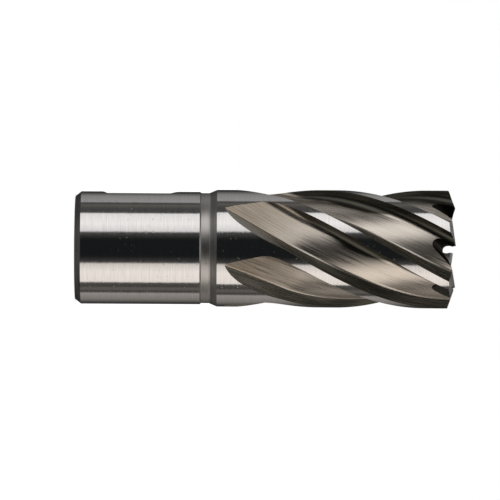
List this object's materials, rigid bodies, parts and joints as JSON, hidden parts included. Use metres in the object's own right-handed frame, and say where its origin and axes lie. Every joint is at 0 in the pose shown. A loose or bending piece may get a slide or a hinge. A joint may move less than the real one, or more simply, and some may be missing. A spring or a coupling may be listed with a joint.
{
  "type": "annular cutter",
  "caption": "Hollow hole cutter in one piece of steel, with helical flutes, ground teeth, a stepped bore and a side-lock shank with drive flats.",
  "frame": {"origin": "centre of the shank's end face, which the cutter stands on", "axes": "+Z along the cutter's axis from the shank to the teeth; -Y is the side seen in the picture"},
  "size_m": [0.02, 0.02, 0.0642],
  "materials": {
    "steel": "ground bright on shank and lands, grind-marked in the flutes"
  },
  "bodies": {
    "root": {"annular_cutter": "steel"}
  },
  "joints": []
}
